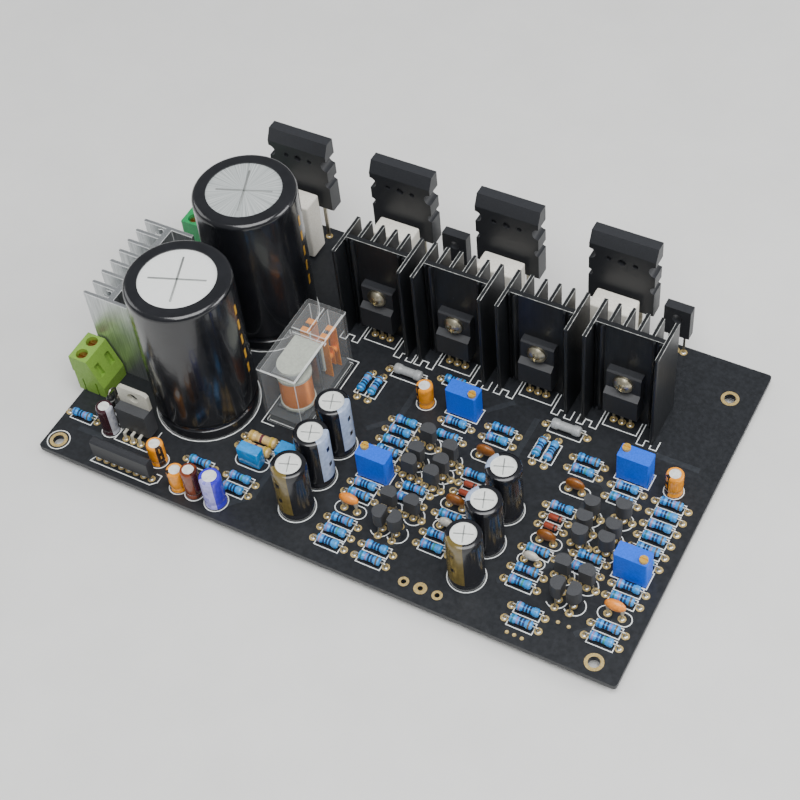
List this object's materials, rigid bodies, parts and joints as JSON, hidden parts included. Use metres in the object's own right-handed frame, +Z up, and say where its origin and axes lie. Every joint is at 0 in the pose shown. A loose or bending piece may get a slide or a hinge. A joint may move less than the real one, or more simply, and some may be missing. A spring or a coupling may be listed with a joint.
{
  "type": "audio amplifier board",
  "caption": "Stereo audio amplifier circuit board with smoothing capacitors, heatsinks, output transistors, a relay, trimmers and screw terminals.",
  "frame": {"origin": "centre of the four mounting holes on the underside of the board", "axes": "+X along the long front edge to the right, +Y from the front edge to the output transistors, +Z up from the board"},
  "size_m": [0.1819, 0.111, 0.056],
  "materials": {
    "board": "gloss black solder mask on fibreglass",
    "tin": "tinned copper wire and solder",
    "can": "satin drawn aluminium",
    "black_sleeve": "gloss shrink sleeve",
    "bare_aluminium": "satin extruded aluminium",
    "black_anodised": "black anodised extrusion",
    "epoxy": "matt moulded epoxy",
    "screw_steel": "nickel plated steel",
    "cement": "matt white cement",
    "lime_plastic": "satin moulded polyamide",
    "emerald_plastic": "satin moulded polyamide",
    "copper_plate": "copper plated steel",
    "clamp_plate": "nickel plated",
    "relay_base": "matt moulded plastic",
    "clear_cover": "clear polycarbonate",
    "soft_iron": "plated soft iron",
    "copper_wire": "enamelled copper winding",
    "contact_copper": "copper alloy strip",
    "milky_plastic": "milky moulded plastic",
    "trimmer_blue": "gloss moulded case",
    "brass": "bare turned brass",
    "channel_sleeve": "gloss shrink sleeve",
    "orange_sleeve": "gloss shrink sleeve",
    "film_blue": "gloss moulded box",
    "dip_coat": "gloss dipped coating",
    "resistor_blue": "gloss lacquer with colour bands",
    "resistor_tan": "lacquer with colour bands",
    "diode_glass": "red tinted glass"
  },
  "bodies": {
    "board_assembly": {"circuit_board": "board", "stout_pins": "tin", "soldered_ends": "tin", "component_leads": "tin", "front_capacitor_can": "can", "front_capacitor_sleeve": "black_sleeve", "rear_capacitor_can": "can", "rear_capacitor_sleeve": "black_sleeve", "supply_heatsink": "bare_aluminium", "bridge_rectifier": "epoxy", "heatsink_screws": "screw_steel", "bias_transistors": "epoxy", "emitter_resistors": "cement", "supply_terminal": "lime_plastic", "speaker_terminal": "emerald_plastic", "regulator": "epoxy", "protection_chip": "epoxy", "relay_base": "relay_base", "relay_cover": "clear_cover", "relay_frame": "soft_iron", "relay_bobbin": "milky_plastic", "relay_coil": "copper_wire", "relay_fixed_contacts": "contact_copper", "trimmer_cases": "trimmer_blue", "channel_capacitor_cans": "can", "channel_capacitor_sleeves": "channel_sleeve", "small_capacitors": "orange_sleeve", "film_capacitors": "film_blue", "dipped_capacitors": "dip_coat", "small_transistors": "epoxy", "signal_resistors": "resistor_blue", "power_resistors": "resistor_tan", "diodes": "diode_glass", "driver_heatsink_1": "black_anodised", "driver_transistor_1": "epoxy", "output_transistor_1": "epoxy", "driver_heatsink_2": "black_anodised", "driver_transistor_2": "epoxy", "output_transistor_2": "epoxy", "driver_heatsink_3": "black_anodised", "driver_transistor_3": "epoxy", "output_transistor_3": "epoxy", "driver_heatsink_4": "black_anodised", "driver_transistor_4": "epoxy", "output_transistor_4": "epoxy"},
    "terminal_screw_1": {"terminal_screw_1": "copper_plate"},
    "terminal_clamp_1": {"terminal_clamp_1": "clamp_plate"},
    "terminal_screw_2": {"terminal_screw_2": "copper_plate"},
    "terminal_clamp_2": {"terminal_clamp_2": "clamp_plate"},
    "terminal_screw_3": {"terminal_screw_3": "copper_plate"},
    "terminal_clamp_3": {"terminal_clamp_3": "clamp_plate"},
    "terminal_screw_4": {"terminal_screw_4": "copper_plate"},
    "terminal_clamp_4": {"terminal_clamp_4": "clamp_plate"},
    "trimmer_screw_1": {"trimmer_screw_1": "brass"},
    "trimmer_screw_2": {"trimmer_screw_2": "brass"},
    "trimmer_screw_3": {"trimmer_screw_3": "brass"},
    "trimmer_screw_4": {"trimmer_screw_4": "brass"},
    "relay_armature_group": {"relay_armature": "soft_iron", "relay_carrier": "milky_plastic", "relay_moving_contacts": "contact_copper"}
  },
  "joints": [
    {"name": "terminal_screw_1_turn", "type": "hinge", "parent": "board_assembly", "child": "terminal_screw_1", "pos_m": [-0.087, -0.02564, 0.0136], "axis": [0, 0, 1], "continuous": true},
    {"name": "terminal_clamp_1_lift", "type": "slide", "parent": "board_assembly", "child": "terminal_clamp_1", "axis": [0, 0, 1], "range_m": [0, 0.0022]},
    {"name": "terminal_screw_2_turn", "type": "hinge", "parent": "board_assembly", "child": "terminal_screw_2", "pos_m": [-0.087, -0.02056, 0.0136], "axis": [0, 0, 1], "continuous": true},
    {"name": "terminal_clamp_2_lift", "type": "slide", "parent": "board_assembly", "child": "terminal_clamp_2", "axis": [0, 0, 1], "range_m": [0, 0.0022]},
    {"name": "terminal_screw_3_turn", "type": "hinge", "parent": "board_assembly", "child": "terminal_screw_3", "pos_m": [-0.087, 0.03466, 0.0136], "axis": [0, 0, 1], "continuous": true},
    {"name": "terminal_clamp_3_lift", "type": "slide", "parent": "board_assembly", "child": "terminal_clamp_3", "axis": [0, 0, 1], "range_m": [0, 0.0022]},
    {"name": "terminal_screw_4_turn", "type": "hinge", "parent": "board_assembly", "child": "terminal_screw_4", "pos_m": [-0.087, 0.03974, 0.0136], "axis": [0, 0, 1], "continuous": true},
    {"name": "terminal_clamp_4_lift", "type": "slide", "parent": "board_assembly", "child": "terminal_clamp_4", "axis": [0, 0, 1], "range_m": [0, 0.0022]},
    {"name": "trimmer_screw_1_turn", "type": "hinge", "parent": "board_assembly", "child": "trimmer_screw_1", "pos_m": [0.00235, -0.018, 0.0116], "axis": [0, 0, 1], "continuous": true},
    {"name": "trimmer_screw_2_turn", "type": "hinge", "parent": "board_assembly", "child": "trimmer_screw_2", "pos_m": [0.02105, 0.0105, 0.0116], "axis": [0, 0, 1], "continuous": true},
    {"name": "trimmer_screw_3_turn", "type": "hinge", "parent": "board_assembly", "child": "trimmer_screw_3", "pos_m": [0.06735, 0.0115, 0.0116], "axis": [0, 0, 1], "continuous": true},
    {"name": "trimmer_screw_4_turn", "type": "hinge", "parent": "board_assembly", "child": "trimmer_screw_4", "pos_m": [0.08555, -0.0198, 0.0116], "axis": [0, 0, 1], "continuous": true},
    {"name": "relay_armature_swing", "type": "hinge", "parent": "board_assembly", "child": "relay_armature_group", "pos_m": [-0.0262, -0.0002, 0.01935], "axis": [1, 0, 0], "range_deg": [0, 4], "stiffness_Nm_per_rad": 0.02, "springref_deg": -5.73}
  ],
  "couplings": [
    {"joint": "terminal_screw_1_turn", "follows": "terminal_clamp_1_lift", "rad_per_m": 11424},
    {"joint": "terminal_screw_2_turn", "follows": "terminal_clamp_2_lift", "rad_per_m": 11424},
    {"joint": "terminal_screw_3_turn", "follows": "terminal_clamp_3_lift", "rad_per_m": 11424},
    {"joint": "terminal_screw_4_turn", "follows": "terminal_clamp_4_lift", "rad_per_m": 11424}
  ]
}
